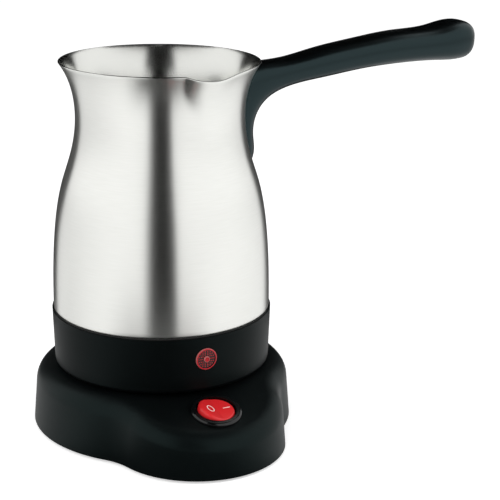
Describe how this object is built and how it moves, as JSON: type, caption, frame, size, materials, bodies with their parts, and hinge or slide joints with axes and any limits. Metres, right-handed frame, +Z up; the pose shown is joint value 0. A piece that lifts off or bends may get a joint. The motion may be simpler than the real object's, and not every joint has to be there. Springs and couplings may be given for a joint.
{
  "type": "electric turkish coffee maker",
  "caption": "Brushed steel coffee pot with pouring lip, moulded handle and pilot lamp, on a cordless black base with a rocker switch.",
  "frame": {"origin": "where the pot's axis meets the table", "axes": "+X the way the handle points, +Y to the back with the cord entry, +Z up"},
  "size_m": [0.2285, 0.1448, 0.182],
  "materials": {
    "brushed_pot": "circumferentially brushed",
    "black_plastic": "semi-gloss, moulded",
    "bezel_black": "glossy",
    "rocker_red": "glossy",
    "lens_red": "clear red, prismatic",
    "inner_plastic": "matt",
    "pale_plastic": "matt",
    "rubber_black": "matt",
    "zinc_steel": "zinc plated",
    "heater_aluminium": "cast",
    "contact_brass": "bright",
    "lead_sleeve": "woven glass sleeve"
  },
  "bodies": {
    "base": {"base_housing": "black_plastic", "base_plate": "inner_plastic", "base_screws": "zinc_steel", "rubber_feet": "rubber_black", "cord_gland": "rubber_black", "cord_clamp": "inner_plastic", "clamp_screws": "zinc_steel", "brush_plate": "inner_plastic", "brush_blades": "contact_brass", "brush_screws": "zinc_steel", "switch_body": "bezel_black", "switch_terminals": "contact_brass", "switch_lead": "lead_sleeve"},
    "rocker": {"switch_rocker": "rocker_red", "switch_plunger": "pale_plastic"},
    "contact": {"switch_contact": "contact_brass"},
    "swivel": {"swivel_socket": "inner_plastic", "socket_sleeves": "contact_brass", "slip_rings": "contact_brass", "swivel_retainer": "inner_plastic", "retainer_screws": "zinc_steel"},
    "pot": {"pot_shell": "brushed_pot", "pot_studs": "zinc_steel", "pot_collar": "black_plastic", "pot_seal": "rubber_black", "collar_nuts": "zinc_steel", "bottom_cover": "inner_plastic", "cover_screws": "zinc_steel", "heating_plate": "heater_aluminium", "heating_element": "heater_aluminium", "element_pins": "contact_brass", "thermostat": "pale_plastic", "pot_plug": "inner_plastic", "plug_pins": "contact_brass", "plug_tabs": "contact_brass", "plug_screws": "zinc_steel", "thermal_fuse": "lead_sleeve", "pot_leads": "lead_sleeve", "lamp_lens": "lens_red", "lamp_body": "pale_plastic", "lamp_clip": "zinc_steel", "handle": "black_plastic", "handle_bracket": "zinc_steel", "handle_screws": "zinc_steel"}
  },
  "joints": [
    {"name": "pot_turn", "type": "hinge", "parent": "base", "child": "swivel", "pos_m": [0, 0, 0], "axis": [0, 0, 1], "continuous": true},
    {"name": "pot_lift", "type": "slide", "parent": "swivel", "child": "pot", "axis": [0, 0, 1], "range_m": [0, 0.06]},
    {"name": "rocker_tilt", "type": "hinge", "parent": "base", "child": "rocker", "pos_m": [0, -0.06164, 0.02492], "axis": [0, 0.9744, 0.225], "range_deg": [-20, 0]},
    {"name": "contact_tilt", "type": "hinge", "parent": "base", "child": "contact", "pos_m": [0, -0.05972, 0.01664], "axis": [0, 0.9744, 0.225], "range_deg": [0, 12]}
  ],
  "couplings": [
    {"joint": "contact_tilt", "follows": "rocker_tilt", "ratio": -0.6}
  ]
}
